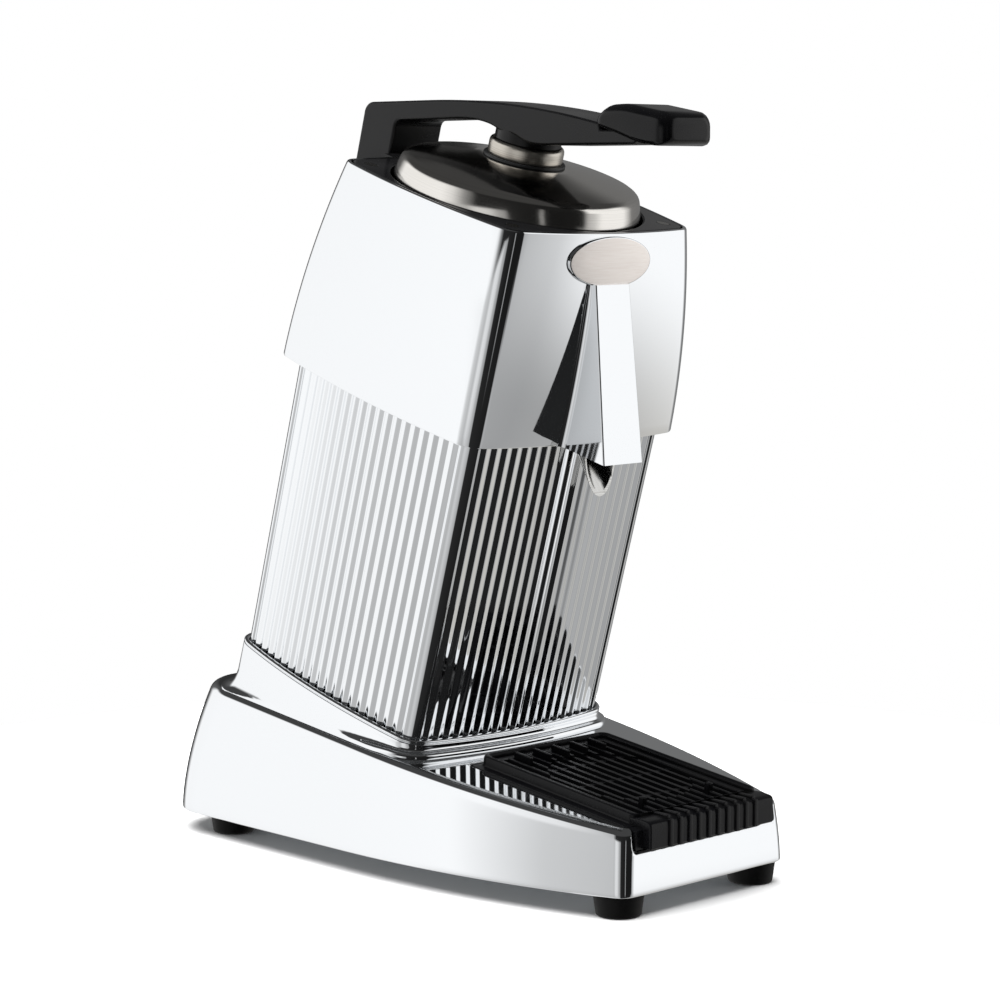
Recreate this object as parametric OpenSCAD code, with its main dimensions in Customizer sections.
// Lever citrus press: a leaning motor column on a wedge base, juice bowl and reamer under a
// domed press plate, and a hinged lever.  Millimetres.  +Z is up, -Y is the front, the feet
// stand on z = 0 and the origin is under the middle of the footprint.

/* [Base] */
// Length of the base at its foot
base_length = 291.5; // [270:0.5:310]
// Distance of the base's front foot edge from the origin
base_front = 143.5; // [135:0.5:150]
// Width of the base at its front foot edge
base_front_width = 105; // [98:1:112]
// Width of the base at its rear foot edge
base_rear_width = 160; // [152:1:170]
// Height of the base's lower edge above the ground
base_lift = 10; // [8:0.5:14]
// Height of the deck at the front edge
deck_front_height = 39; // [36:0.5:44]
// Slope of the deck, rising to the rear
deck_slope = 7.5; // [6:0.5:9]
// How far the side walls lean in from foot to deck
side_draft = 6; // [4:0.5:8]
// How far the front wall leans in from foot to deck
front_draft = 2; // [1:0.5:4]
// How far the rear wall leans in from foot to deck
rear_draft = 17.5; // [12:0.5:20]
// Radius of the base's front corners
base_front_corner = 8; // [4:1:12]
// Radius of the base's rear corners
base_rear_corner = 28; // [18:1:36]
// Wall of the base casting
base_wall = 3.5; // [2.5:0.5:5]

/* [Feet] */
// Radius of a foot at the ground
foot_radius = 10.3; // [8:0.1:12]
// Radius of a foot at its top
foot_top_radius = 11.5; // [10:0.1:13]
// Half the distance between the front feet
front_foot_x = 43.5; // [38:0.5:46]
// Distance of the front feet behind the base's front edge
front_foot_inset = 12.5; // [11:0.5:20]
// Half the distance between the rear feet
rear_foot_x = 62; // [50:0.5:66]
// Distance of the rear feet ahead of the base's rear edge
rear_foot_inset = 36; // [30:0.5:50]
// Radius of the foot screws
foot_screw_radius = 2; // [1.5:0.25:3]

/* [Column] */
// Lean of the column towards the front
lean = 16.1; // [12:0.1:20]
// Distance of the column's foot centre behind the origin
column_y = 43.1; // [38:0.1:48]
// Height of the column's foot centre
column_z = 77.2; // [74:0.1:82]
// Half width of the column between its sharp corners
column_half = 61.7; // [58:0.1:64]
// How far each column side bows out
side_bow = 5.4; // [3:0.1:8]
// Radius of the column's corners
column_corner = 9; // [6:0.5:14]
// Visible length of the reeded column, from collar to housing
column_length = 146.8; // [135:0.1:160]
// Number of reeds on each side
reeds_per_side = 19; // [10:1:22]
// Depth of the grooves between reeds
reed_depth = 1.4; // [0.8:0.1:2]
// Wall of the column behind the grooves
column_wall = 2.5; // [2:0.25:4]
// Width of the collar around the column's foot
collar_width = 2.8; // [2:0.1:4]
// Height of the collar's lip above the column's foot plane
collar_lip = 3.6; // [1:0.1:4]
// Width of the plinth step outside the collar
plinth_step = 3; // [1:0.25:4]
// Height of the plinth above the deck
plinth_height = 3.5; // [2:0.25:5]

/* [Housing] */
// Height of the upper housing along the column
housing_height = 96.8; // [90:0.1:104]
// How much wider than the column the housing is at its lower edge, each side
housing_flare = 5.7; // [4.6:0.1:7]
// The same at half height
housing_mid_flare = 2.85; // [2:0.05:4]
// The same at the top, where it is narrower
housing_top_flare = -3.8; // [-4.2:0.1:-2]
// How far the housing is set back from the column's centre
housing_shift = 1.1; // [0:0.1:2]
// Radius of the housing's corners
housing_corner = 10; // [7:0.5:14]
// Wall of the housing
housing_wall = 2.2; // [1.6:0.1:3]
// Width of the nose at its top
nose_top_width = 22; // [19:0.5:24]
// Width of the nose at its lower end
nose_width = 25.5; // [24:0.5:30]
// How far the nose stands out at its lower end
nose_reach = 26; // [22:0.5:30]
// How far the nose stands out at its top
nose_top_reach = 3.2; // [1:0.1:6]
// Height of the nose along the column
nose_height = 75; // [65:1:80]
// Wall of the nose
nose_wall = 2; // [1.5:0.1:2.2]
// Width of the oval plate
badge_width = 52; // [40:1:60]
// Height of the oval plate
badge_height = 23; // [16:1:26]
// Distance of the oval plate's centre below the housing's top
badge_drop = 12.5; // [11.5:0.5:14]
// How far the oval plate stands out
badge_proud = 3; // [1.5:0.1:4]

/* [Press] */
// Radius of the dome's skirt at its lower edge
dome_radius = 58; // [55:0.25:58.25]
// Height of the dome's skirt
dome_skirt = 11; // [9:0.5:13]
// How far the skirt leans in over its height
dome_taper = 3; // [1:0.25:4]
// Rise of the dome's cone above its skirt
dome_rise = 6; // [4:0.5:8]
// Radius of the flat on top of the dome
dome_flat = 22; // [21.5:0.5:26]
// Sheet thickness of the dome
dome_sheet = 1.2; // [0.8:0.1:1.6]
// Radius of the steel ring above the dome
ring_radius = 17.5; // [16:0.25:20]
// Height of the steel ring
ring_height = 5.8; // [4:0.1:8]
// Radius of the dark seal under the ring
gasket_radius = 21; // [18:0.25:21.5]
// Thickness of the dark seal
gasket_height = 1.3; // [1:0.1:2]
// Radius of the stud that carries the dome
stud_radius = 4; // [3:0.25:5]
// Thickness of the black top plate
top_plate_thickness = 3; // [2:0.25:4]
// Gap between the dome and the top plate's opening
dome_gap = 1.2; // [0.9:0.1:1.4]

/* [Lever] */
// Width of the lever arm
lever_width = 31; // [26:0.5:34]
// Distance of the lever's pin behind the housing's rear face
pin_standoff = 18.6; // [17:0.1:20]
// Distance of the lever's pin below the housing's top
pin_drop = 17.8; // [17.5:0.1:20]
// Radius of the lever's pin
pin_radius = 4; // [3:0.25:5]
// Half the depth of the lever's leg
leg_half = 11.5; // [10:0.25:12.5]
// Wall of each hinge bush
bush_wall = 2; // [1.5:0.25:2.5]
// Rise of the lever's highest point above its pin
lever_rise = 37; // [35:0.5:39]
// Height from the arm's underside over the dome up to its highest point
arm_depth = 9; // [7:0.5:11]
// Height from the arm's underside at the grip up to its highest point
arm_drop = 21.8; // [20:0.2:24]
// Width of the grip
grip_width = 33; // [30:0.5:40]
// Length of the grip
grip_length = 46; // [40:1:52]
// Height of the grip
grip_height = 18.5; // [16:0.5:22]
// Distance of the grip's front end ahead of the pin
lever_reach = 197; // [190:0.5:203]
// Edge radius of the grip
grip_edge = 5; // [3:0.5:7]
// Largest opening angle of the lever
lever_swing = 70; // [50:1:75]
// Rise of the heel cam over the whole swing
cam_rise = 2; // [1:0.25:3]

/* [Bowl and reamer] */
// Outer radius of the juice bowl
bowl_radius = 55; // [52:0.5:55.5]
// Sheet thickness of the bowl
bowl_sheet = 1.2; // [0.8:0.1:1.6]
// Outer radius of the spout's gutter
spout_radius = 10; // [9:0.1:10.2]
// Distance of the spout's lip ahead of the bowl's axis
spout_reach = 89.3; // [86:0.1:93]
// Distance of the spout's lip below the housing's lower edge
spout_drop = 19.3; // [16:0.1:22]
// Radius of the reamer's foot
reamer_radius = 30; // [26:0.5:34]
// Height of the reamer
reamer_height = 46; // [40:0.5:49]
// Number of ribs on the reamer
reamer_ribs = 10; // [6:1:12]
// Radius of the holes in the strainer
strainer_hole = 1.6; // [1:0.1:2]

/* [Motor] */
// Radius of the motor shaft
shaft_radius = 6; // [5:0.25:7]
// Half the width of the stator stack
stator_half = 46; // [44:0.5:48]
// Length of the stator stack
stack_length = 45; // [35:1:55]
// Radius of the rotor
rotor_radius = 26.6; // [24:0.1:30]
// Air gap between rotor and stator
air_gap = 0.4; // [0.3:0.1:0.6]
// Radius of the cooling fan
fan_radius = 42; // [36:1:46]
// Number of fan blades
fan_blades = 9; // [5:1:13]
// Outer radius of the ball bearings
bearing_radius = 16; // [14:0.5:17.5]
// Width of the ball bearings
bearing_width = 10; // [8:0.5:12]
// Thickness of the motor plate
motor_plate_thickness = 6; // [5:0.5:8]
// Radius of the four tie rods
rod_radius = 2.5; // [2:0.25:3]

/* [Drip tray] */
// Width of the drip tray's frame
tray_width = 81.2; // [76:0.2:84]
// Length of the drip tray
tray_length = 110; // [100:1:114]
// Distance of the tray's front from the origin
tray_front = 148; // [146:0.25:150]
// Height of the tray's frame above the deck
tray_rise = 5; // [3:0.25:7]
// Depth of the tray's tub below the deck
tub_depth = 14; // [11:0.5:16]
// Wall of the tray
tray_wall = 2; // [1.5:0.25:3]
// Width of the tray's frame around the grid
frame_width = 6; // [4:0.5:8]
// Height of the tray's apron above the ground
apron_bottom = 30; // [28:0.5:32]
// Ridge spacing on the tray's apron
ridge_pitch = 6.2; // [4:0.1:8]
// Radius of the place for the glass
glass_radius = 33; // [28:0.5:34]
// Spacing of the grid's slats
slat_pitch = 6.2; // [4:0.1:8]
// Spacing of the fins behind the glass
fin_pitch = 12; // [8:0.5:14]

/* [Fits] */
// Running clearance of a shaft in its bore, radial
running_gap = 0.05; // [0.02:0.01:0.08]
// Clearance around a screw in a through hole, radial
screw_gap = 0.2; // [0.1:0.05:0.4]
// Clearance between pieces that drop into each other
drop_gap = 0.4; // [0.3:0.05:0.7]
// Clearance between pieces that move past each other
moving_gap = 0.7; // [0.5:0.1:1]

/* [Hidden] */

$fn = 64;
chrome_colour = [0.85, 0.86, 0.88];
steel_colour = [0.72, 0.71, 0.69];
black_colour = [0.10, 0.10, 0.11];
rubber_colour = [0.05, 0.05, 0.05];
copper_colour = [0.72, 0.40, 0.20];
zinc_colour = [0.62, 0.64, 0.66];

// ---- Base: a wedge whose foot outline and deck outline are joined by curved walls ----
base_rear = base_length - base_front;
// Where the sides stop widening, behind the origin
base_widest_y = 10;
// How strongly the walls curve between foot and deck
wall_curve = 1.6;

function deck_z(y) = deck_front_height + (y + base_front) * tan(deck_slope);
function mix(a, b, t) = a + (b - a) * t;

// Right half of a base outline, from the front corner round the side to the rear corner.
function base_half(front_half, rear_half, front_y, rear_y, front_r, rear_r) =
    let (run = base_widest_y - front_y,
         spread = rear_half - front_half,
         side_r = (run * run + spread * spread) / (2 * spread),
         side_x = rear_half - side_r,
         corner_x = side_x + sqrt(pow(side_r - front_r, 2) - pow(run - front_r, 2)),
         turn = asin((run - front_r) / (side_r - front_r)))
    concat(
        [for (i = [0:4]) let (t = mix(-90, -turn, i / 4))
            [corner_x + front_r * cos(t), front_y + front_r + front_r * sin(t)]],
        [for (i = [1:6]) let (t = mix(-turn, 0, i / 6))
            [side_x + side_r * cos(t), base_widest_y + side_r * sin(t)]],
        [for (i = [0:6]) let (t = 90 * i / 6)
            [rear_half - rear_r + rear_r * cos(t), rear_y - rear_r + rear_r * sin(t)]]);

function mirrored(half) = concat(half, [for (i = [len(half) - 1:-1:0]) [-half[i][0], half[i][1]]]);

// The base outline at share t of its height (0 foot, 1 deck), drawn in by inset.
function base_outline(t, inset) = let (f = pow(t, wall_curve)) mirrored(base_half(
    base_front_width / 2 - f * side_draft * 0.4 - inset,
    base_rear_width / 2 - f * side_draft - inset,
    -base_front + f * front_draft + inset,
    base_rear - f * rear_draft - inset,
    base_front_corner - inset * 0.6, base_rear_corner - inset));

function base_ring(t, inset, low, drop) = [for (p = base_outline(t, inset))
    [p[0], p[1], mix(low, deck_z(p[1]) - drop, t)]];

// Closed solid through rings of points, lowest ring first, each ring anticlockwise.
// A peak closes the top with triangles where the last ring isn't level.
module loft(rings, peak = undef) {
    n = len(rings[0]);
    m = len(rings);
    polyhedron(points = concat([for (r = rings) each r], is_undef(peak) ? [] : [peak]), faces = concat(
        [[for (i = [0:n - 1]) i]],
        is_undef(peak) ? [[for (i = [n - 1:-1:0]) (m - 1) * n + i]]
            : [for (i = [0:n - 1]) [(m - 1) * n + (i + 1) % n, (m - 1) * n + i, m * n]],
        [for (j = [0:m - 2], i = [0:n - 1]) [j * n + i, (j + 1) * n + i, (j + 1) * n + (i + 1) % n]],
        [for (j = [0:m - 2], i = [0:n - 1]) [j * n + i, (j + 1) * n + (i + 1) % n, j * n + (i + 1) % n]]));
}

// ---- Frames ----
module on_deck() translate([0, -base_front, deck_front_height]) rotate([deck_slope, 0, 0]) children();
module on_column() translate([0, column_y, column_z]) rotate([lean, 0, 0]) children();
module off_column() rotate([-lean, 0, 0]) translate([0, -column_y, -column_z]) children();
module on_axis() on_column() translate([0, housing_shift, 0]) children();
module four() for (x = [-1, 1], y = [-1, 1]) quadrant(x, y) children();
module quadrant(x, y) mirror([x < 0 ? 1 : 0, 0, 0]) mirror([0, y < 0 ? 1 : 0, 0]) children();
module ring_of(outer, inner, height) difference() {
    cylinder(r = outer, h = height);
    translate([0, 0, -1]) cylinder(r = inner, h = height + 2);
}

// ---- Column outline: a square with bowed sides and round corners ----
function side_radius(h) = (h * h + side_bow * side_bow) / (2 * side_bow);
function corner_centre(h, r) = let (big = side_radius(h), k = big - h - side_bow)
    (sqrt(2 * pow(big - r, 2) - k * k) - k) / 2;
function turned(p, q) = [p[0] * cos(90 * q) - p[1] * sin(90 * q), p[0] * sin(90 * q) + p[1] * cos(90 * q)];

// h: half size at the sharp corners, r: corner radius, d: offset, n: steps along a side.
function outline(h, r, d = 0, n = 8, steps = 5) =
    let (big = side_radius(h), k = big - h - side_bow, c = corner_centre(h, r), a = atan2(c, c + k))
    [for (q = [0:3]) each [for (p = concat(
        [for (i = [0:n]) let (t = mix(-a, a, i / n)) [(big + d) * sin(t), k - (big + d) * cos(t)]],
        [for (i = [1:steps - 1]) let (t = mix(a, 90 - a, i / steps))
            [c + (r + d) * sin(t), -c - (r + d) * cos(t)]])) turned(p, q)]];

// Reeded outline: each side carries pleats that touch the smooth outline at their crests.
reed_steps = 2;
function reeded() =
    let (h = column_half, r = column_corner, big = side_radius(h), k = big - h - side_bow,
         c = corner_centre(h, r), a = atan2(c, c + k), n = reeds_per_side * reed_steps)
    [for (q = [0:3]) each [for (p = concat(
        [for (i = [0:n]) let (t = mix(-a, a, i / n), d = -reed_depth * (1 - sin(180 * (i % reed_steps) / reed_steps)))
            [(big + d) * sin(t), k - (big + d) * cos(t)]],
        [for (i = [0:6]) let (t = mix(a, 90 - a, i / 6)) [c + r * sin(t), -c - r * cos(t)]])) turned(p, q)]];

column_seat = -6;                       // the column's lower end, below the collar's lip
column_top = column_length + 5.2;       // the column's upper end, inside the housing
plate_top = column_top + motor_plate_thickness;
housing_top = column_length + housing_height;
pin_level = housing_top - pin_drop;
pin_back = housing_half(pin_level) + side_bow + housing_shift + pin_standoff;
pin_y = column_y + pin_back * cos(lean) - pin_level * sin(lean);
pin_z = column_z + pin_back * sin(lean) + pin_level * cos(lean);
lever_top = pin_z + lever_rise;
grip_front = lever_reach - pin_y;
rod_offset = 48.5;                      // tie rods stand at this distance from both middle planes
opening_radius = 58;                    // the clear way from the base up into the column

module column_solid(d, low, high) translate([0, 0, low])
    linear_extrude(high - low) polygon(outline(column_half, column_corner, d));

// ---- Base group ----
recess_half = tray_width / 2 + 4.7;
recess_front = front_draft + base_wall + 0.5;
recess_rear = tray_length - (tray_front - base_front) + drop_gap;
boss_radius = 5;
plate_thickness = 2;
plate_gap = 0.4;

// A point of the side view, from its distance along the deck and its height above it.
function deck_point(y, h) = [-base_front + y * cos(deck_slope) - h * sin(deck_slope),
    deck_front_height + y * sin(deck_slope) + h * cos(deck_slope)];
// Top of the sill in front of the tray's tub
sill_height = (apron_bottom - deck_front_height - recess_front * sin(deck_slope)) / cos(deck_slope);

module foot_places() for (x = [-1, 1]) {
    translate([x * front_foot_x, -base_front + front_foot_inset, 0]) children();
    translate([x * rear_foot_x, base_rear - rear_foot_inset, 0]) children();
}

module base_solid(inset, low, drop) difference() {
    loft([for (t = [0, 0.3, 0.55, 0.8, 1.08]) base_ring(t, inset, low, drop)], [0, 0, deck_z(0) + 20]);
    above_deck(-drop);
}

gland_x = 38;
gland_z = 30;
gland_radius = 9;
gland_bore = 4;
gland_length = 24;

gland_wall = 8;
// The gland's flange seats this far out from the inner end of its boss
gland_seat = gland_wall;
module at_gland() translate([gland_x, base_rear - 4.4 - gland_wall, gland_z]) rotate([-90, 0, 0]) children();

module below_deck(drop) on_deck() translate([-150, -60, -200 - drop]) cube([300, 420, 200]);
module above_deck(lift) on_deck() translate([-150, -60, lift]) cube([300, 420, 200]);

module base_shell() color(chrome_colour) difference() {
    union() {
        difference() {
            base_solid(0, base_lift, 0);
            base_solid(base_wall, base_lift - 1, base_wall);
        }
        // Pan under the drip tray, and bosses for the foot screws
        intersection() {
            base_solid(1, base_lift + plate_thickness, 1);
            union() {
                on_deck() translate([-recess_half - base_wall, 0, -tub_depth - 2.5])
                    cube([2 * (recess_half + base_wall), recess_rear + base_wall, tub_depth + 2.5]);
                foot_places() translate([0, 0, base_lift + plate_thickness]) cylinder(r = boss_radius, h = 60);
                at_gland() cylinder(r = gland_radius + 2, h = gland_seat + 10);
            }
        }
        // Collar, plinth and shelf that hold the column
        difference() {
            on_column() column_solid(collar_width, -60, collar_lip);
            below_deck(1);
            on_column() column_solid(-base_wall, -80, column_seat - 4);
        }
        difference() {
            on_column() column_solid(collar_width + plinth_step, -60, 40);
            below_deck(1);
            above_deck(plinth_height);
        }
    }
    across(2 * recess_half, [[-base_front - 20, apron_bottom], deck_point(recess_front, sill_height),
        deck_point(recess_front, -tub_depth), deck_point(recess_rear, -tub_depth), deck_point(recess_rear, 50),
        [-base_front - 20, deck_front_height + 50]]);
    on_column() column_solid(running_gap + 0.3, column_seat, 60);
    on_axis() translate([0, 0, -70]) cylinder(r = opening_radius, h = 80);
    on_axis() four() translate([rod_offset, rod_offset, -60]) cylinder(r = rod_radius + screw_gap, h = 80);
    on_axis() four() translate([rod_offset, rod_offset, column_seat - 20])
        cylinder(r = nut_radius + screw_gap, h = 16);
    foot_places() translate([0, 0, base_lift]) cylinder(r = foot_screw_radius, h = plate_thickness + 12);
    at_gland() translate([0, 0, -5]) cylinder(r = 6, h = 40);
    at_gland() translate([0, 0, gland_seat]) cylinder(r = gland_radius + screw_gap, h = 20);
}

module bottom_plate() color(zinc_colour) difference() {
    translate([0, 0, base_lift]) linear_extrude(plate_thickness)
        polygon(base_outline(0, base_wall + plate_gap));
    foot_places() cylinder(r = foot_screw_radius + screw_gap, h = 40);
    translate([stud_x, stud_y, 0]) cylinder(r = bonding_radius + screw_gap, h = 40);
}

module rubber_foot() color(rubber_colour) rotate_extrude() polygon([
    [foot_screw_radius + screw_gap, 4], [foot_head_radius + screw_gap, 4], [foot_head_radius + screw_gap, 0],
    [foot_radius - 1, 0], [foot_radius, 1], [foot_top_radius, base_lift],
    [foot_screw_radius + screw_gap, base_lift]]);
foot_head_radius = 4.5;

module foot_front_left() translate([-front_foot_x, -base_front + front_foot_inset, 0]) rubber_foot();
module foot_front_right() translate([front_foot_x, -base_front + front_foot_inset, 0]) rubber_foot();
module foot_rear_left() translate([-rear_foot_x, base_rear - rear_foot_inset, 0]) rubber_foot();
module foot_rear_right() translate([rear_foot_x, base_rear - rear_foot_inset, 0]) rubber_foot();

module foot_screws() color(zinc_colour) foot_places() {
    translate([0, 0, 1.5]) cylinder(r = foot_head_radius, h = 2.5);
    translate([0, 0, 1.5]) cylinder(r = foot_screw_radius, h = base_lift + 9);
}

bonding_radius = 2.8;
stud_x = -58;
stud_y = 12;
module bonding_stud() color(chrome_colour) translate([stud_x, stud_y, 0]) {
    translate([0, 0, base_lift - 6]) cylinder(r = bonding_radius, h = 12);
    translate([0, 0, base_lift + plate_thickness]) cylinder(r = 5, h = 3.5, $fn = 6);
}

module cord_gland() color(black_colour) at_gland() difference() {
    union() {
        translate([0, 0, gland_seat]) cylinder(r = gland_radius, h = gland_flange);
        translate([0, 0, gland_seat + gland_flange - gland_length]) cylinder(r = 6 - screw_gap, h = gland_length);
    }
    translate([0, 0, -20]) cylinder(r = gland_bore, h = 60);
}
gland_flange = 4;
module gland_nut() color(black_colour) at_gland() translate([0, 0, -5.1]) difference() {
    cylinder(r = 9, h = 5, $fn = 6);
    translate([0, 0, -1]) cylinder(r = 6 - screw_gap, h = 7);
}

module terminal_block() color([0.86, 0.86, 0.82]) difference() {
    translate([12, 66, base_lift + plate_thickness]) cube([46, 18, 17]);
    for (i = [0:3]) translate([18.5 + i * 11, 75, base_lift + plate_thickness + 8]) cylinder(r = 3, h = 12);
}

capacitor_radius = 17;
capacitor_y = 40;
capacitor_height = base_lift + plate_thickness + capacitor_radius + 1.5;
module capacitor() color([0.78, 0.79, 0.80]) translate([-40, capacitor_y, capacitor_height]) rotate([0, 90, 0]) {
    cylinder(r = capacitor_radius, h = 70);
    translate([0, 0, 70]) cylinder(r = 12, h = 4);
}
module capacitor_clip() color(zinc_colour) translate([-12, capacitor_y, 0]) difference() {
    union() {
        translate([0, 0, capacitor_height]) rotate([0, 90, 0]) cylinder(r = capacitor_radius + 1.5, h = 14);
        translate([0, -30, base_lift + plate_thickness]) cube([14, 60, 1.5]);
    }
    translate([-1, 0, capacitor_height]) rotate([0, 90, 0]) cylinder(r = capacitor_radius, h = 16);
}

// ---- Column ----
module ribbed_body() color(chrome_colour) on_column() difference() {
    translate([0, 0, column_seat]) linear_extrude(column_top - column_seat) polygon(reeded());
    column_solid(-reed_depth - column_wall, column_seat - 1, column_top + 1);
    off_column() gutter(spout_radius + drop_gap, 14);
}

nut_radius = 5;
rod_low = column_seat - 9;
rod_high = plate_top + 26;
module tie_rods() color(zinc_colour) on_axis() four() translate([rod_offset, rod_offset, rod_low])
    cylinder(r = rod_radius, h = rod_high - rod_low);
module tie_rod_nuts() color(zinc_colour) on_axis() four()
    translate([rod_offset, rod_offset, column_seat - 8]) difference() {
        cylinder(r = nut_radius, h = 4, $fn = 6);
        translate([0, 0, -1]) cylinder(r = rod_radius, h = 8);
    }

// ---- Housing ----
function housing_half(z) = let (u = (z - column_length) / housing_height,
    a = 2 * (housing_top_flare + housing_flare - 2 * housing_mid_flare),
    b = housing_top_flare - housing_flare - a)
    column_half + a * u * u + b * u + housing_flare;
function housing_ring(z, d) = [for (p = outline(housing_half(z), housing_corner, d)) [p[0], p[1], z]];
module housing_solid(d, low, high) loft([for (i = [0:7]) housing_ring(mix(low, high, i / 7), d)]);

// Front of the housing at its middle, in the column's own frame
function housing_face(z) = -(housing_half(z) + side_bow);
nose_back = -50;
function nose_ring(z, half, front) = [[-half, front, z], [half, front, z], [half, nose_back, z], [-half, nose_back, z]];
module nose_solid(inset, extra) loft([
    nose_ring(column_length - extra, nose_width / 2 - inset, housing_face(column_length) - nose_reach + inset),
    nose_ring(column_length + nose_height - inset, nose_top_width / 2 - inset,
        housing_face(column_length + nose_height) - nose_top_reach + inset)]);

post_radius = 4.5;
post_top = housing_top - top_plate_thickness;
bracket_screw_x = 13;
bracket_screw_z = 8.5;
bracket_screw_radius = 2;
module at_pin() translate([0, pin_y, pin_z]) rotate([lean, 0, 0]) children();
// Distance from the pin to the housing's rear face at a height above the pin
function face_depth(z) = pin_standoff + housing_half(pin_level) - housing_half(pin_level + z);
module bracket_screw_places(z) at_pin() for (x = [-1, 1])
    translate([x * bracket_screw_x, -face_depth(z), z]) rotate([90, 0, 0]) children();

module upper_housing() color(chrome_colour) difference() {
    union() {
        on_axis() {
            difference() {
                union() {
                    housing_solid(0, column_length, housing_top);
                    nose_solid(0, 0);
                }
                housing_solid(-housing_wall, column_length - 1, housing_top + 1);
                nose_solid(nose_wall, 1);
            }
            intersection() {
                housing_solid(-0.5, column_length, housing_top);
                four() translate([rod_offset, rod_offset, plate_top]) {
                    cylinder(r = post_radius, h = post_top - plate_top);
                    rotate([0, 0, 45]) translate([0, -2, 0]) cube([20, 4, post_top - plate_top]);
                }
            }
        }
    }
    on_axis() four() translate([rod_offset, rod_offset, 0]) {
        translate([0, 0, plate_top - 1]) cylinder(r = rod_radius + screw_gap, h = rod_high - plate_top + 3);
        translate([0, 0, post_top - 9]) cylinder(r = plate_screw_radius, h = 12);
    }
    for (z = [-1, 1]) bracket_screw_places(z * bracket_screw_z) translate([0, 0, -10])
        cylinder(r = bracket_screw_radius + screw_gap, h = 20);
    at_pin() rotate([90, 0, 0]) cylinder(r = plunger_radius + screw_gap, h = 40);
    on_axis() badge_places() cylinder(r = badge_stud_radius, h = 20);
}

badge_stud_radius = 1.5;
badge_z = housing_top - badge_drop;
badge_tilt = atan2(housing_face(badge_z + 5) - housing_face(badge_z - 5), 10);
module at_badge() on_axis() translate([0, housing_face(badge_z), badge_z]) rotate([90 - badge_tilt, 0, 0]) children();
module badge_places() translate([0, housing_face(badge_z), badge_z]) rotate([90 - badge_tilt, 0, 0])
    for (x = [-1, 1]) translate([x * badge_width / 4, 0, -10]) children();
module badge_plate() color(steel_colour) {
    difference() {
        at_badge() translate([0, 0, -6]) linear_extrude(badge_proud + 6) polygon(oval_points(badge_width, badge_height));
        on_axis() housing_solid(running_gap, column_length, housing_top);
        on_axis() nose_solid(-screw_gap, 0);
    }
    on_axis() badge_places() translate([0, 0, 4]) cylinder(r = badge_stud_radius, h = 7);
}
function oval_points(w, h) = [for (i = [0:59]) [w / 2 * cos(6 * i), h / 2 * sin(6 * i)]];

plate_screw_radius = 1.5;
dome_low = housing_top - 1;
module top_plate() color(black_colour) on_axis() difference() {
    translate([0, 0, post_top]) linear_extrude(top_plate_thickness)
        polygon(outline(housing_half(housing_top), housing_corner, -housing_wall - drop_gap));
    translate([0, 0, post_top - 1]) cylinder(r = dome_radius + dome_gap, h = 10, $fn = 96);
    four() translate([rod_offset, rod_offset, post_top - 1]) {
        cylinder(r = plate_screw_radius + screw_gap, h = 10);
        translate([0, 0, top_plate_thickness - 0.5]) cylinder(r = 3.2, h = 10);
    }
}
module top_plate_screws() color(steel_colour) on_axis() four() translate([rod_offset, rod_offset, 0]) {
    translate([0, 0, housing_top - 1.5]) cylinder(r = 3, h = 1.5);
    translate([0, 0, post_top - 8]) cylinder(r = plate_screw_radius, h = 9.5);
}

// ---- Motor, hung under the motor plate ----
cap_wall = 3;
upper_cap_height = 22;
lower_cap_height = 20;
cap_floor = 4;
motor_screw_offset = 36;
motor_screw_radius = 2.5;
stack_top = column_top - upper_cap_height;
stack_low = stack_top - stack_length;
cap_low = stack_low - lower_cap_height;
cap_radius = stator_half + 4;
seal_radius = 12;
bowl_floor = plate_top + 2;
shaft_top = bowl_floor + 44;
shaft_low = cap_low - 18;
module motor_screw_places() four() translate([motor_screw_offset, motor_screw_offset, 0]) children();

module motor_plate() color([0.75, 0.76, 0.78]) difference() {
    motor_plate_body();
    gutter(spout_radius + drop_gap, 14);
}
module motor_plate_body() on_axis() difference() {
    union() {
        translate([0, 0, column_top]) linear_extrude(motor_plate_thickness)
            polygon(outline(housing_half(plate_top), housing_corner, -housing_wall - drop_gap));
        translate([0, 0, plate_top - 1]) cylinder(r = 22, h = 3);
    }
    translate([0, 0, column_top - 1]) cylinder(r = shaft_radius + 2, h = 20);
    translate([0, 0, plate_top - 4]) cylinder(r = seal_radius, h = 20);
    motor_screw_places() translate([0, 0, column_top - 1]) cylinder(r = motor_screw_radius, h = 6);
    four() translate([rod_offset, rod_offset, column_top - 1]) cylinder(r = rod_radius + screw_gap, h = 20);
}
module shaft_seal() color(rubber_colour) on_axis() translate([0, 0, plate_top - 4])
    ring_of(seal_radius, shaft_radius + running_gap, 6);

// A cup with a bearing seat: floor at z = 0, open at the top.
module end_cap(height) difference() {
    union() {
        cylinder(r = cap_radius, h = height);
        motor_screw_places() cylinder(r = 6, h = height);
    }
    difference() {
        translate([0, 0, cap_floor]) cylinder(r = cap_radius - cap_wall, h = height);
        cylinder(r = bearing_radius + 3.5, h = cap_floor + bearing_width);
        motor_screw_places() cylinder(r = 6, h = height + cap_floor + 1);
    }
    translate([0, 0, cap_floor]) cylinder(r = bearing_radius, h = height);
    translate([0, 0, -1]) cylinder(r = shaft_radius + 1.5, h = height);
    motor_screw_places() translate([0, 0, -1]) cylinder(r = motor_screw_radius + screw_gap, h = height + 2);
}
module lower_end_cap() color(steel_colour) on_axis() translate([0, 0, cap_low]) end_cap(lower_cap_height);
module upper_end_cap() color(steel_colour) on_axis() translate([0, 0, column_top])
    mirror([0, 0, 1]) end_cap(upper_cap_height);
module upper_bearing() color(steel_colour) on_axis() translate([0, 0, column_top - cap_floor - bearing_width])
    ring_of(bearing_radius, shaft_radius + running_gap, bearing_width);
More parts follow.
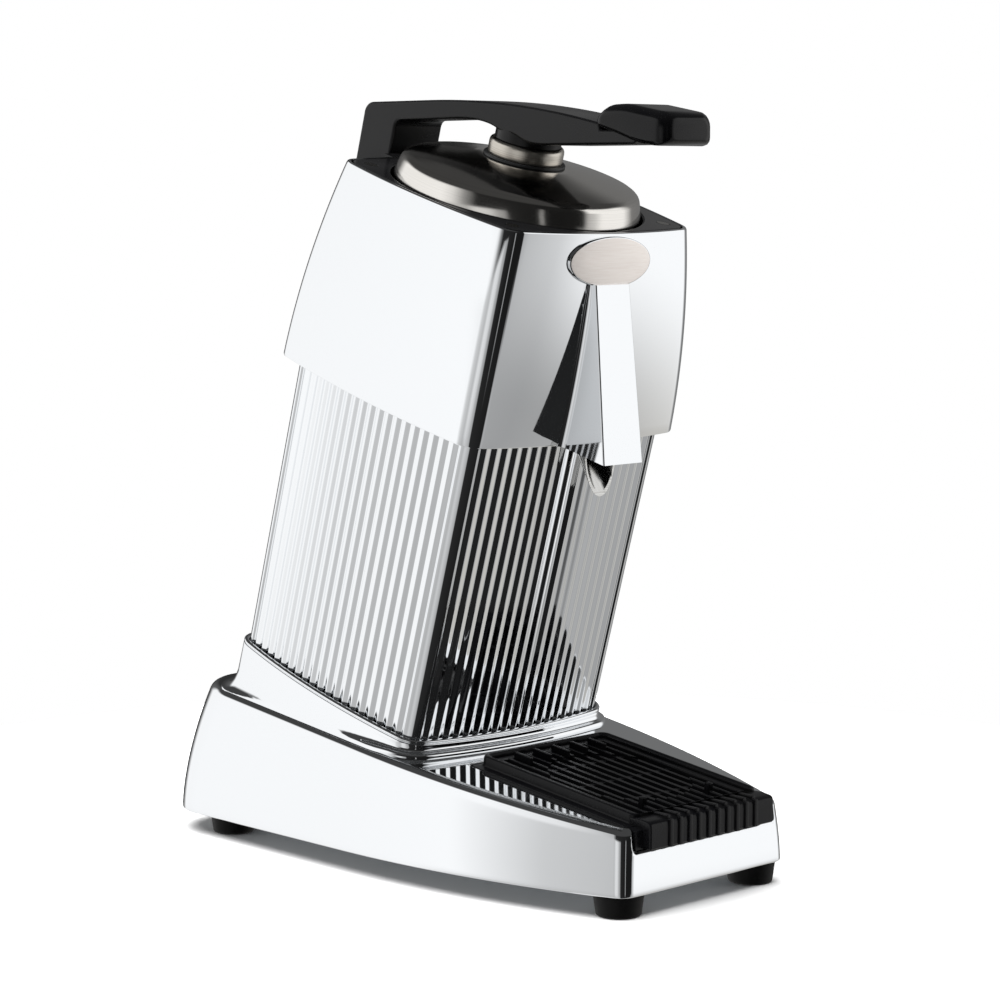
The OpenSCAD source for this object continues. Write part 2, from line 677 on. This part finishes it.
module lower_bearing() color(steel_colour) on_axis() translate([0, 0, cap_low + cap_floor])
    ring_of(bearing_radius, shaft_radius + running_gap, bearing_width);

module stator_core() color([0.45, 0.45, 0.47]) on_axis() translate([0, 0, stack_low]) difference() {
    intersection() {
        translate([-stator_half, -stator_half, 0]) cube([2 * stator_half, 2 * stator_half, stack_length]);
        cylinder(r = stator_half + 14, h = stack_length);
    }
    translate([0, 0, -1]) cylinder(r = rotor_radius + air_gap, h = stack_length + 2);
    for (i = [0:11]) rotate([0, 0, 30 * i]) translate([rotor_radius - 1, -1.5, -1]) cube([15, 3, stack_length + 2]);
    motor_screw_places() translate([0, 0, -1]) cylinder(r = motor_screw_radius + screw_gap, h = stack_length + 2);
}
module stator_windings() color(copper_colour) on_axis() {
    for (z = [stack_low - 12, stack_top]) translate([0, 0, z]) ring_of(cap_radius - cap_wall - 2, rotor_radius + 2, 12);
}
module motor_screws() color(zinc_colour) on_axis() motor_screw_places() {
    translate([0, 0, cap_low - 3]) cylinder(r = 4.2, h = 3, $fn = 6);
    translate([0, 0, cap_low - 3]) cylinder(r = motor_screw_radius, h = column_top + 4 - cap_low);
}

// ---- Spindle ----
module motor_shaft() color(steel_colour) on_axis() translate([0, 0, shaft_low])
    cylinder(r = shaft_radius, h = shaft_top - shaft_low);
module rotor_core() color([0.55, 0.55, 0.57]) on_axis() translate([0, 0, stack_low])
    ring_of(rotor_radius, shaft_radius, stack_length);
module cooling_fan() color(black_colour) on_axis() translate([0, 0, cap_low - 15]) difference() {
    union() {
        cylinder(r = 11, h = 9);
        translate([0, 0, 7]) cylinder(r = fan_radius, h = 2);
        for (i = [0:fan_blades - 1]) rotate([0, 0, 360 * i / fan_blades]) translate([9, -1, 0])
            cube([fan_radius - 10, 2, 8]);
    }
    translate([0, 0, -1]) cylinder(r = shaft_radius, h = 12);
}
hub_radius = 9;
hub_low = shaft_top - 18;
reamer_low = shaft_top - 16;
module drive_hub() color(steel_colour) on_axis() translate([0, 0, hub_low]) difference() {
    intersection() {
        cylinder(r = hub_radius, h = 18);
        translate([-hub_radius, -7.5, 0]) cube([2 * hub_radius, 15, 18]);
    }
    translate([0, 0, -1]) cylinder(r = shaft_radius, h = 20);
}
function reamer_r(t) = reamer_radius * (t < 0.12 ? 1 : sqrt(1 - pow((t - 0.12) / 0.88, 1.7)) * 0.94 + 0.03);
module reamer() color(steel_colour) on_axis() translate([0, 0, reamer_low]) difference() {
    union() {
        rotate_extrude() polygon(concat([[0, 0], [reamer_radius, 0], [reamer_radius, 3]],
            [for (i = [1:10]) [reamer_r(i / 10) * 0.82, 3 + (reamer_height - 3) * i / 10]],
            [[0, reamer_height]]));
        for (i = [0:reamer_ribs - 1]) rotate([90, 0, 360 * i / reamer_ribs]) translate([0, 0, -1.2])
            linear_extrude(2.4) polygon(concat([[0, 2], [reamer_radius, 2]],
                [for (i = [1:10]) [reamer_r(i / 10), 3 + (reamer_height - 3) * i / 10]], [[0, reamer_height]]));
    }
    intersection() {
        translate([0, 0, -1]) cylinder(r = hub_radius + screw_gap, h = 17);
        translate([-hub_radius - 1, -7.5 - screw_gap, -1]) cube([2 * hub_radius + 2, 15 + 2 * screw_gap, 17]);
    }
}

// ---- Bowl ----
bowl_top = post_top - 2.5;
chimney_radius = 14.2;
strainer_z = bowl_floor + 34;
spout_fall = 61;
module at_spout() on_axis() translate([0, -spout_reach, column_length - spout_drop])
    rotate([spout_fall - 90 - lean, 0, 0]) children();
// A frame at the spout's lip that stands upright
module at_lip() on_axis() translate([0, -spout_reach, column_length - spout_drop]) rotate([-lean, 0, 0]) children();
module gutter(r, extra) at_spout() {
    translate([0, -spout_radius, -20]) cylinder(r = r, h = 72);
    translate([-r, -spout_radius - 4 - extra, -20]) cube([2 * r, 4 + extra, 72]);
}
module juice_bowl() color(steel_colour) difference() {
    union() {
        on_axis() rotate_extrude() polygon([
            [chimney_radius - bowl_sheet, bowl_floor], [bowl_radius, bowl_floor], [bowl_radius, bowl_top - 1.2],
            [bowl_radius + 1.2, bowl_top - 1.2], [bowl_radius + 1.2, bowl_top], [bowl_radius - bowl_sheet, bowl_top],
            [bowl_radius - bowl_sheet, strainer_z], [bowl_radius - bowl_sheet - 1.5, strainer_z - 1.5],
            [bowl_radius - bowl_sheet, strainer_z - 3], [bowl_radius - bowl_sheet, bowl_floor + bowl_sheet],
            [chimney_radius, bowl_floor + bowl_sheet], [chimney_radius, bowl_floor + 24],
            [chimney_radius - bowl_sheet, bowl_floor + 24]]);
        difference() {
            gutter(spout_radius, 0);
            gutter(spout_radius - bowl_sheet, 10);
            at_lip() translate([-50, -100, -100]) cube([100, 100, 200]);
            on_axis() translate([0, 0, bowl_floor]) cylinder(r = bowl_radius - 0.6, h = 100);
            on_axis() translate([0, -30, bowl_floor + 14]) translate([-50, -60, 0]) cube([100, 60, 80]);
            on_axis() translate([-50, -bowl_radius + 6, 0]) cube([100, 120, 300]);
        }
    }
    intersection() {
        gutter(spout_radius - bowl_sheet, 10);
        on_axis() translate([-50, -bowl_radius - 5, bowl_floor + bowl_sheet]) cube([100, 40, 12]);
    }
}
module strainer() color(steel_colour) on_axis() difference() {
    translate([0, 0, strainer_z]) union() {
        ring_of(bowl_radius - bowl_sheet - drop_gap, reamer_radius + 1, 1);
        ring_of(bowl_radius - bowl_sheet - drop_gap, bowl_radius - bowl_sheet - drop_gap - 1.2, 6);
    }
    for (row = [0:3]) let (r = 34.5 + row * 4.6, n = floor(2 * PI * r / 5.2)) for (i = [0:n - 1])
        rotate([0, 0, 360 * i / n]) translate([r, 0, strainer_z - 1]) cylinder(r = strainer_hole, h = 3, $fn = 16);
}

// ---- Lever ----
arm_bend = 500;
arm_straight_y = pin_y - 43;
grip_seat_z = lever_top - 15;
arm_under_rear = lever_top - arm_depth;
arm_under_front = lever_top - arm_drop;
leg_corner = 6;
function leg_y(z, side) = pin_y - (z - pin_z) * tan(lean) + side * leg_half / cos(lean);
function arc(cx, cy, r, a0, a1, n) = [for (i = [0:n]) let (t = mix(a0, a1, i / n)) [cx + r * cos(t), cy + r * sin(t)]];
function heel_radius(a) = leg_half + cam_rise * (a < lever_swing ? a / lever_swing : (180 - a) / (180 - lever_swing));
arm_tip = -grip_front + 4;
arm_profile = concat(
    arc(leg_y(lever_top - leg_corner, 1) - leg_corner, lever_top - leg_corner, leg_corner, 10, 90, 5),
    [for (y = [arm_straight_y:-12:-grip_front + grip_length - 2])
        [y, lever_top - pow(arm_straight_y - y, 2) / (2 * arm_bend)]],
    [[-grip_front + grip_length - 3, grip_seat_z], [arm_tip, grip_seat_z - 1], [arm_tip, arm_under_front + 2.6],
     [-grip_front + 20, arm_under_front + 2.6], [-grip_front + 22, arm_under_front],
     [pin_y - 129, arm_under_front], [pin_y - 109, arm_under_front + 0.6],
     [pin_y - 99, mix(arm_under_front, arm_under_rear, 0.39)], [pin_y - 83, arm_under_rear - 3],
     [pin_y - 71, arm_under_rear - 0.6]],
    arc(leg_y(arm_under_rear - 4, -1) - 4, arm_under_rear - 4, 4, 90, 16, 4),
    [for (i = [0:24]) let (a = 180 * i / 24, r = heel_radius(a))
        [pin_y + r * cos(180 + lean + a), pin_z + r * sin(180 + lean + a)]]);
module across(width, profile) translate([-width / 2, 0, 0]) rotate([90, 0, 90]) linear_extrude(width) polygon(profile);

boss_top_radius = 15.5;
ring_low = dome_low + dome_skirt + dome_rise + gasket_height;
module lever_arm() color(black_colour) difference() {
    union() {
        across(lever_width, arm_profile);
        intersection() {
            on_axis() translate([0, 0, ring_low + ring_height]) cylinder(r = boss_top_radius, h = 30);
            translate([-30, pin_y - 133, arm_under_rear - 44]) cube([60, 70, 46]);
        }
    }
    translate([-40, pin_y, pin_z]) rotate([0, 90, 0]) cylinder(r = pin_radius + bush_wall, h = 80);
    on_axis() translate([0, 0, ring_low]) cylinder(r = stud_radius, h = ring_height + 10);
    translate([0, grip_screw_y, lever_top - 55]) cylinder(r = 2, h = 50);
}
grip_screw_y = -grip_front + grip_length * 0.68;
module lever_bushes() color([0.80, 0.62, 0.32]) for (x = [-lever_width / 2, lever_width / 2 - 10])
    translate([x, pin_y, pin_z]) rotate([0, 90, 0]) ring_of(pin_radius + bush_wall, pin_radius + running_gap, 10);
grip_rear = -grip_front + grip_length;
grip_low = lever_top - 22.6;
grip_profile = concat(
    [[grip_rear - 0.4, grip_low + 9.8], [grip_rear - 1.5, grip_low + 12.6], [grip_rear - 4.5, grip_low + 15.8],
     [grip_rear - 8, grip_low + 17.8], [grip_rear - 12, grip_low + 18.5]],
    arc(-grip_front + grip_edge, lever_top - 8.6 - grip_edge, grip_edge, 95, 180, 6),
    arc(-grip_front + grip_edge - 1, grip_low + grip_edge - 1, grip_edge - 1, 180, 265, 6),
    [[-grip_front + 16, grip_low + 0.5], [-grip_front + 21, grip_low + 2.6], [grip_rear - 12, grip_low + 6]]);
module lever_grip() color(black_colour) difference() {
    intersection() {
        across(grip_width, grip_profile);
        translate([0, 0, grip_low - 10]) linear_extrude(60) polygon(grip_plan);
        translate([0, grip_rear + 5, 0]) rotate([90, 0, 0]) linear_extrude(grip_length + 10) polygon(grip_section);
    }
    across(lever_width, arm_profile);
    translate([0, grip_screw_y, lever_top - 55]) cylinder(r = 2, h = 48);
}
grip_plan = concat([[grip_width / 2, grip_rear + 5], [-grip_width / 2, grip_rear + 5]],
    arc(-grip_width / 2 + grip_edge, -grip_front + grip_edge, grip_edge, 180, 270, 6),
    arc(grip_width / 2 - grip_edge, -grip_front + grip_edge, grip_edge, 270, 360, 6));
grip_section = concat([[-grip_width / 2, grip_low - 2], [grip_width / 2, grip_low - 2]],
    arc(grip_width / 2 - grip_edge, grip_low + 18.5 - grip_edge, grip_edge, 0, 90, 6),
    arc(-grip_width / 2 + grip_edge, grip_low + 18.5 - grip_edge, grip_edge, 90, 180, 6));
module grip_screw() color(zinc_colour) translate([0, grip_screw_y, 0]) {
    translate([0, 0, arm_under_front + 0.3]) cylinder(r = 2, h = 13.5);
}
module dome_stud() color(steel_colour) on_axis() {
    translate([0, 0, dome_low + dome_skirt + dome_rise - dome_sheet - 3]) cylinder(r = 9, h = 3, $fn = 6);
    translate([0, 0, dome_low + dome_skirt + dome_rise - dome_sheet - 1])
        cylinder(r = stud_radius, h = dome_sheet + 1 + gasket_height + ring_height + 9);
}
module press_dome() color(steel_colour) on_axis() translate([0, 0, dome_low]) rotate_extrude($fn = 96) polygon([
    [dome_radius, 0], [dome_radius - dome_taper * 0.75, dome_skirt - 3], [dome_radius - dome_taper * 1.1, dome_skirt - 1],
    [dome_radius - dome_taper * 1.6, dome_skirt], [dome_flat, dome_skirt + dome_rise],
    [stud_radius, dome_skirt + dome_rise], [stud_radius, dome_skirt + dome_rise - dome_sheet],
    [dome_flat, dome_skirt + dome_rise - dome_sheet], [dome_radius - dome_taper * 1.6, dome_skirt - dome_sheet],
    [dome_radius - dome_taper * 1.1 - dome_sheet * 0.7, dome_skirt - 1.8],
    [dome_radius - dome_taper * 0.75 - dome_sheet, dome_skirt - 3], [dome_radius - dome_sheet, 0]]);
module dome_gasket() color(rubber_colour) on_axis() translate([0, 0, dome_low + dome_skirt + dome_rise])
    ring_of(gasket_radius, stud_radius, gasket_height);
module dome_ring() color(steel_colour) on_axis() translate([0, 0, ring_low]) rotate_extrude() polygon([
    [stud_radius, 0], [ring_radius - 0.6, 0], [ring_radius, 0.6], [ring_radius, ring_height - 0.8],
    [ring_radius - 0.8, ring_height], [stud_radius, ring_height]]);

// ---- Hinge ----
ear_thickness = 5;
ear_inner = lever_width / 2 + moving_gap;
ear_outer = ear_inner + ear_thickness;
ear_radius = 10;
bracket_face = -(leg_half + cam_rise + moving_gap);
plunger_radius = 1.5;
module hinge_bracket() color(black_colour) difference() {
    union() {
        at_pin() {
            for (x = [-ear_outer, ear_inner]) translate([x, 0, 0]) {
                rotate([0, 90, 0]) cylinder(r = ear_radius, h = ear_thickness);
                translate([0, -pin_standoff - 8, -ear_radius]) cube([ear_thickness, pin_standoff + 8, 2 * ear_radius]);
            }
            translate([-ear_outer, -pin_standoff - 10, -17])
                cube([2 * ear_outer, pin_standoff + 10 + bracket_face, 34]);
        }
    }
    on_axis() housing_solid(running_gap, column_length, housing_top);
    on_axis() translate([-40, 0, housing_top - 0.01]) cube([80, housing_half(housing_top) + side_bow, 10]);
    at_pin() translate([-50, 0, 0]) rotate([0, 90, 0]) cylinder(r = pin_radius, h = 100);
    at_pin() rotate([90, 0, 0]) cylinder(r = plunger_radius + running_gap, h = 40);
    for (z = [-1, 1]) bracket_screw_places(z * bracket_screw_z) translate([0, 0, -2.6])
        cylinder(r = bracket_screw_radius, h = 20);
}
module bracket_screws() color(zinc_colour) for (z = [-1, 1]) bracket_screw_places(z * bracket_screw_z) {
    translate([0, 0, -2.2]) cylinder(r = bracket_screw_radius, h = housing_wall + 4);
    translate([0, 0, housing_wall + 0.9]) cylinder(r = 3.5, h = 2.5);
}
module hinge_pin() color(steel_colour) translate([-ear_outer - 3, pin_y, pin_z]) rotate([0, 90, 0])
    cylinder(r = pin_radius, h = 2 * ear_outer + 6);
module pin_clips() color(steel_colour) for (x = [-ear_outer - 1.7, ear_outer + 0.5])
    translate([x, pin_y, pin_z]) rotate([0, 90, 0]) ring_of(pin_radius + 3, pin_radius, 1.2);
module switch_plunger() color([0.85, 0.84, 0.80]) at_pin() rotate([90, 0, 0])
    translate([0, 0, leg_half + 0.3]) cylinder(r = plunger_radius, h = pin_standoff - leg_half + 5);
module microswitch() color(black_colour) at_pin() difference() {
    translate([-10, -pin_standoff - 11, -6]) cube([20, 6.2, 11]);
    rotate([90, 0, 0]) translate([0, 0, pin_standoff]) cylinder(r = plunger_radius + 0.3, h = 9);
}

// ---- Drip tray ----
tray_half = tray_width / 2;
tray_front_local = -(tray_front - base_front);
tub_half = recess_half - drop_gap;
module drip_tray() color(black_colour) difference() {
    union() {
        on_deck() translate([-tub_half, recess_front + drop_gap, -tub_depth + seat_gap])
            cube([2 * tub_half, recess_rear - recess_front - 2 * drop_gap, tub_depth - seat_gap]);
        intersection() {
            on_deck() translate([-tray_half, -20, -tub_depth + seat_gap])
                cube([2 * tray_half, 20 + recess_rear - drop_gap, tub_depth - seat_gap + tray_rise]);
            union() {
                translate([-60, -tray_front + ridge_proud, apron_bottom + drop_gap]) cube([120, 200, 100]);
                on_deck() translate([-60, recess_front + drop_gap, -tub_depth + seat_gap]) cube([120, 200, 100]);
            }
        }
        intersection() {
            on_deck() translate([-tub_half, -20, -tub_depth]) cube([2 * tub_half, 20 + recess_front + 4, tub_depth]);
            translate([-60, -base_front + front_draft / 2, apron_bottom + drop_gap]) cube([120, 20, 100]);
        }
        // Ridges on the apron
        intersection() {
            on_deck() translate([-tray_half, -20, -tub_depth]) cube([2 * tray_half, 40, tub_depth + tray_rise]);
            for (i = [-ridge_count:ridge_count - 1])
                translate([(i + 0.5) * ridge_pitch - ridge_width / 2, -tray_front, apron_bottom + drop_gap])
                cube([ridge_width, 3, 40]);
        }
    }
    on_deck() translate([-tray_half + frame_width, recess_front + drop_gap + tray_wall, -tub_depth + tray_wall])
        cube([2 * (tray_half - frame_width), recess_rear - recess_front - 2 * (drop_gap + tray_wall) - 3, 60]);
    // Step that carries the grid
    on_deck() translate([-grid_half - drop_gap, grid_front - drop_gap, grid_level])
        cube([2 * (grid_half + drop_gap), grid_length + 2 * drop_gap, 60]);
}
seat_gap = 0.05;
ridge_proud = 0.8;
ridge_width = 3.8;
ridge_count = floor((tray_half - 8) / ridge_pitch);
grid_half = tray_half - 3.5;
grid_front = recess_front + 1;
grid_length = recess_rear - grid_front - 5;
grid_level = 0;
grid_height = 3;
slat_width = 2.2;
module drip_grid() color(black_colour) on_deck() {
    difference() {
        translate([-grid_half, grid_front, grid_level]) difference() {
            cube([2 * grid_half, grid_length, grid_height]);
            translate([5, 5, -1]) cube([2 * grid_half - 10, grid_length - 10, grid_height + 2]);
        }
    }
    difference() {
        union() {
            for (i = [-slat_count:slat_count - 1])
                translate([(i + 0.5) * slat_pitch - slat_width / 2, grid_front + 1, grid_level])
                cube([slat_width, grid_length - 2, grid_height]);
            for (i = [1:3]) translate([-grid_half + 1, grid_front + grid_length * i / 4 - 1.2, grid_level])
                cube([2 * grid_half - 2, 2.4, grid_height - 1.6]);
        }
        translate([0, grid_front + grid_length / 2, grid_level + grid_height - 1]) cylinder(r = glass_radius, h = 10);
    }
    // Fins behind the glass and pegs ahead of it
    for (i = [-2:2]) translate([i * fin_pitch - 1, grid_front + grid_length - 14, grid_level + 0.5]) cube([2, 11, 5]);
    for (x = [-1, 1]) translate([x * 3.5 * slat_pitch - 1.5, grid_front + 11, grid_level + 0.5]) cube([3, 3, 6]);
}
slat_count = floor((grid_half - 3) / slat_pitch);

base_shell();
bottom_plate();
foot_front_left();
foot_front_right();
foot_rear_left();
foot_rear_right();
foot_screws();
bonding_stud();
cord_gland();
gland_nut();
terminal_block();
capacitor();
capacitor_clip();
ribbed_body();
tie_rods();
tie_rod_nuts();
motor_plate();
upper_housing();
badge_plate();
top_plate();
top_plate_screws();
hinge_bracket();
bracket_screws();
hinge_pin();
pin_clips();
microswitch();
switch_plunger();
stator_core();
stator_windings();
upper_end_cap();
lower_end_cap();
motor_screws();
upper_bearing();
lower_bearing();
shaft_seal();
motor_shaft();
rotor_core();
cooling_fan();
drive_hub();
reamer();
juice_bowl();
strainer();
lever_arm();
lever_bushes();
lever_grip();
grip_screw();
dome_stud();
press_dome();
dome_gasket();
dome_ring();
drip_tray();
drip_grid();
